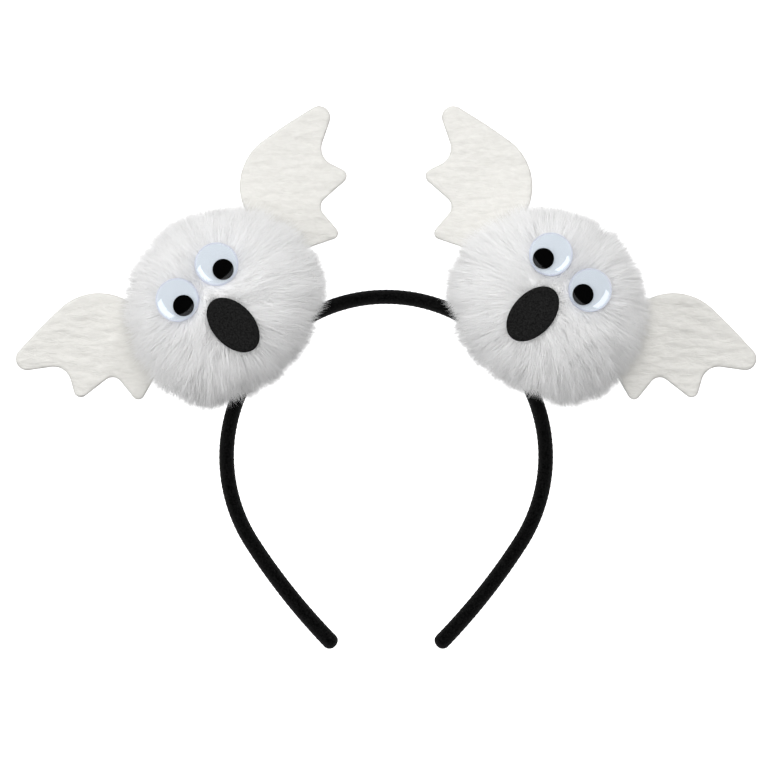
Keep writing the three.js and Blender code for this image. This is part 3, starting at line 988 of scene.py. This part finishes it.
def grow(pompom, tree, rng, style):
    """Strands all over a pompom: their roots and tips in millimetres of the row frame, and tones."""
    count = style["count"]
    centre = pompom["centre"]
    directions = even_directions(count, rng, STRAND_JITTER)
    reach = fur_reach(directions, pompom)
    tufted = np.clip(TUFTED - TUFTED_FALL * directions @ pompom["smooth"], TUFTED_LEAST, 1)
    ragged = np.maximum(tufted, (1 - (directions @ pompom["front"]) ** 2) ** 2)
    lean = combed(directions, pompom["face"], pompom["pieces"])
    lean += rng.normal(0, style["strand_lean"], directions.shape)
    lean += style["sweep"] * smooth_field(directions, rng, SWEEP_WAVES, SWEEP_CYCLES)
    longer = np.zeros(count)
    tones = OWN_TONE * rng.random(count)
    for kind in ("lock", "wisp"):
        tufts = pompom[kind]
        own = nearest(directions, tufts["places"])
        pull = rng.uniform(*style[f"{kind}_pull"], count) * (SMOOTH_PULL + (1 - SMOOTH_PULL) * ragged)
        lean += pull[:, None] * (tufts["places"][own] - directions)
        lean += style[f"{kind}_lean"] * tufts["lean"][own]
        longer += style[f"{kind}_uneven"] * ragged * tufts["longer"][own]
        tones += TUFT_TONE * tufts["tone"][own]
    longer = np.minimum(longer, style["most_uneven"]) - style["shorter"] * rng.random(count) ** 2
    tips = unit(directions + lean)
    reach_there = np.minimum(fur_reach(tips, pompom), below_face(tips, pompom["pieces"]))
    tips = centre + tips * (reach_there + style["longer"] + longer)[:, None]
    first = centre + directions * (reach - ROOT_DEPTH)[:, None]
    clear, lengths = clear_way(tree, np.broadcast_to(centre, first.shape), first)
    roots = centre + directions * np.minimum(clear - ROOT_CLEARANCE, lengths)[:, None]
    under = np.clip(FLOOR_CLEARANCE + FLOOR_UNEVEN * rng.random(count) - tips[:, 2], 0, None)
    tips[:, 2] += under
    tips[:, :2] += FLOOR_SPLAY * under[:, None] * unit(directions[:, :2] + NEVER_ZERO)
    clear, lengths = clear_way(tree, roots, tips)
    share = np.clip(clear / lengths, 0, 1)
    tips = roots + (tips - roots) * share[:, None]
    by_hoop = degrees_from(directions, pompom["hollow"]) < BY_HOOP_DEG
    least = np.where(by_hoop, KEPT_SHARE_BY_HOOP, KEPT_SHARE)
    kept = rng.permutation(np.flatnonzero(share > least))[: style["most"]]
    return roots[kept], tips[kept], tones[kept]


def core_mesh(pompom, tree):
    """The hidden middle of a pompom, drawn in where the hoop and wings go in: points and triangles."""
    ball = bmesh.new()
    bmesh.ops.create_icosphere(ball, subdivisions=CORE_DETAIL, radius=1)
    directions = unit(np.array([vertex.co[:] for vertex in ball.verts]))
    triangles = np.array([[vertex.index for vertex in face.verts] for face in ball.faces])
    ball.free()
    centre = pompom["centre"]
    ends = centre + directions * (fur_reach(directions, pompom) - CORE_DEPTH)[:, None]
    clear, lengths = clear_way(tree, np.broadcast_to(centre, ends.shape), ends)
    radius = np.where(clear < lengths, clear - ROOT_CLEARANCE, lengths)
    return centre + directions * radius[:, None], triangles


def make_fur(ghost, side, tree):
    """A pompom's two pieces: its core with the bulk of its strands, and its fine strands."""
    rng = np.random.default_rng(SEED + side)
    pompom = pompom_facts(ghost, side, rng)

    roots, tips, tones = grow(pompom, tree, rng, BULK)
    radii = BULK["radius"] * rng.uniform(*STRAND_UNEVEN, len(roots))[:, None]
    points, triangles, places = strand_mesh(np.stack((roots, tips), axis=1), radii, tones, rng)
    core, core_triangles = core_mesh(pompom, tree)
    core_places = np.tile(CORE_ON_MAP, (len(core_triangles), 1))
    bulk = triangle_object(
        f"{ghost}_fur", np.vstack((points, core)) * MM,
        np.vstack((triangles, core_triangles + len(points))), WHITE_FUR, np.vstack((places, core_places))
    )
    dress(bulk, "headband", "white_fur", f"{ghost}_pompom")

    roots, tips, tones = grow(pompom, tree, rng, FINE)
    bow = STRAND_BOW * np.linalg.norm(tips - roots, axis=1)[:, None] * rng.normal(0, 1, roots.shape)
    middles = (1 - STRAND_BOW_AT) * roots + STRAND_BOW_AT * tips + bow
    thick = FINE["radius"] * rng.uniform(*STRAND_UNEVEN, len(roots))
    radii = np.column_stack((thick, STRAND_TAPER * thick))
    spines = np.stack((roots, middles, tips), axis=1)
    points, triangles, places = strand_mesh(spines, radii, tones, rng)
    fine = triangle_object(f"{ghost}_fur_wisps", points * MM, triangles, WHITE_FUR, places)
    dress(fine, "headband", "white_fur", f"{ghost}_pompom")


# Stage, lights and camera

def make_floor():
    """The floor under the part, which throws no light back on it."""
    half = FLOOR_HALF
    corners = [(-half, -half, 0), (half, -half, 0), (half, half, 0), (-half, half, 0)]
    floor = make_object("floor", corners, [(0, 1, 2, 3)], floor_material())
    floor.visible_diffuse = False


def area_light(name, aim, toward, distance, size, radiance):
    """A soft light at a distance in a direction of the row frame, aimed at a point, with an even radiance."""
    light = bpy.data.lights.new(name, "AREA")
    light.shape = "RECTANGLE"
    light.size, light.size_y = size
    light.energy = radiance * math.pi * size[0] * size[1]
    lamp = linked(name, light)
    back = toward.normalized()
    lamp.location = aim + back * distance
    lamp.rotation_euler = (-back).to_track_quat("-Z", "Y").to_euler()
    lamp.visible_camera = False
    return lamp


def make_lights():
    """Soft light from all round, the front, the top, the left and the right, none of it in the gloss."""
    world = bpy.data.worlds.new("studio")
    bpy.context.scene.world = world
    world.use_nodes = True
    background = world.node_tree.nodes["Background"]
    background.inputs["Color"].default_value = (1, 1, 1, 1)
    background.inputs["Strength"].default_value = WORLD_STRENGTH
    world.cycles_visibility.glossy = False
    aim = HOOP @ (Vector((*PICTURE_MIDDLE, 0)) * MM)
    for light in STUDIO_LIGHTS:
        toward = HOOP.to_3x3() @ Vector(light["toward"])
        lamp = area_light(
            light["name"], aim, toward, STUDIO_DISTANCE, STUDIO_LIGHT_SIZE, light["radiance"]
        )
        lamp.visible_glossy = False


def make_glints(eye, dome, side):
    """The lights that show in an eye's dome, which shine on nothing else."""
    alone = bpy.data.collections.new(f"{eye}_gloss")
    alone.objects.link(dome)
    matrix = eye_frame(eye)
    for glint in GLINTS:
        around = math.radians(glint["around"])
        off = math.radians(glint["from_axis"])
        toward = Vector((-side * math.cos(around), math.sin(around), 1 / math.tan(off)))
        lamp = area_light(
            f"{eye}_{glint['name']}", matrix.translation, matrix.to_3x3() @ toward, GLINT_DISTANCE,
            glint["size"], glint["radiance"]
        )
        lamp.visible_diffuse = False
        lamp.visible_transmission = False
        lamp.light_linking.receiver_collection = alone


def make_camera():
    """The main camera, square to the hoop's plane and far from it."""
    camera = bpy.data.cameras.new("camera")
    camera.sensor_width = SENSOR_WIDTH
    camera.lens = SENSOR_WIDTH * CAMERA_DISTANCE / (PICTURE_PIXELS * PIXEL_SIZE)
    camera.clip_end = CAMERA_SEES_TO
    holder = linked("camera", camera)
    holder.matrix_world = HOOP @ Matrix.Translation(Vector((*PICTURE_MIDDLE, CAMERA_DISTANCE)) * MM)
    bpy.context.scene.camera = holder


make_camera()
make_floor()
make_lights()
bpy.context.scene.view_settings.view_transform = "Standard"
bpy.context.scene.cycles.diffuse_bounces = DIFFUSE_BOUNCES
bpy.context.scene.cycles.max_bounces = MAX_BOUNCES
bpy.context.scene.cycles.caustics_reflective = False
make_band()
for ghost, side in GHOSTS.items():
    for where in SIDES_OF_A_GHOST:
        make_wing(ghost, side, where)
        dome = make_eye(f"{ghost}_{where}")
        make_glints(f"{ghost}_{where}", dome, side)
    make_mouth(ghost)
in_the_way = obstacles()
for ghost, side in GHOSTS.items():
    make_fur(ghost, side, in_the_way)
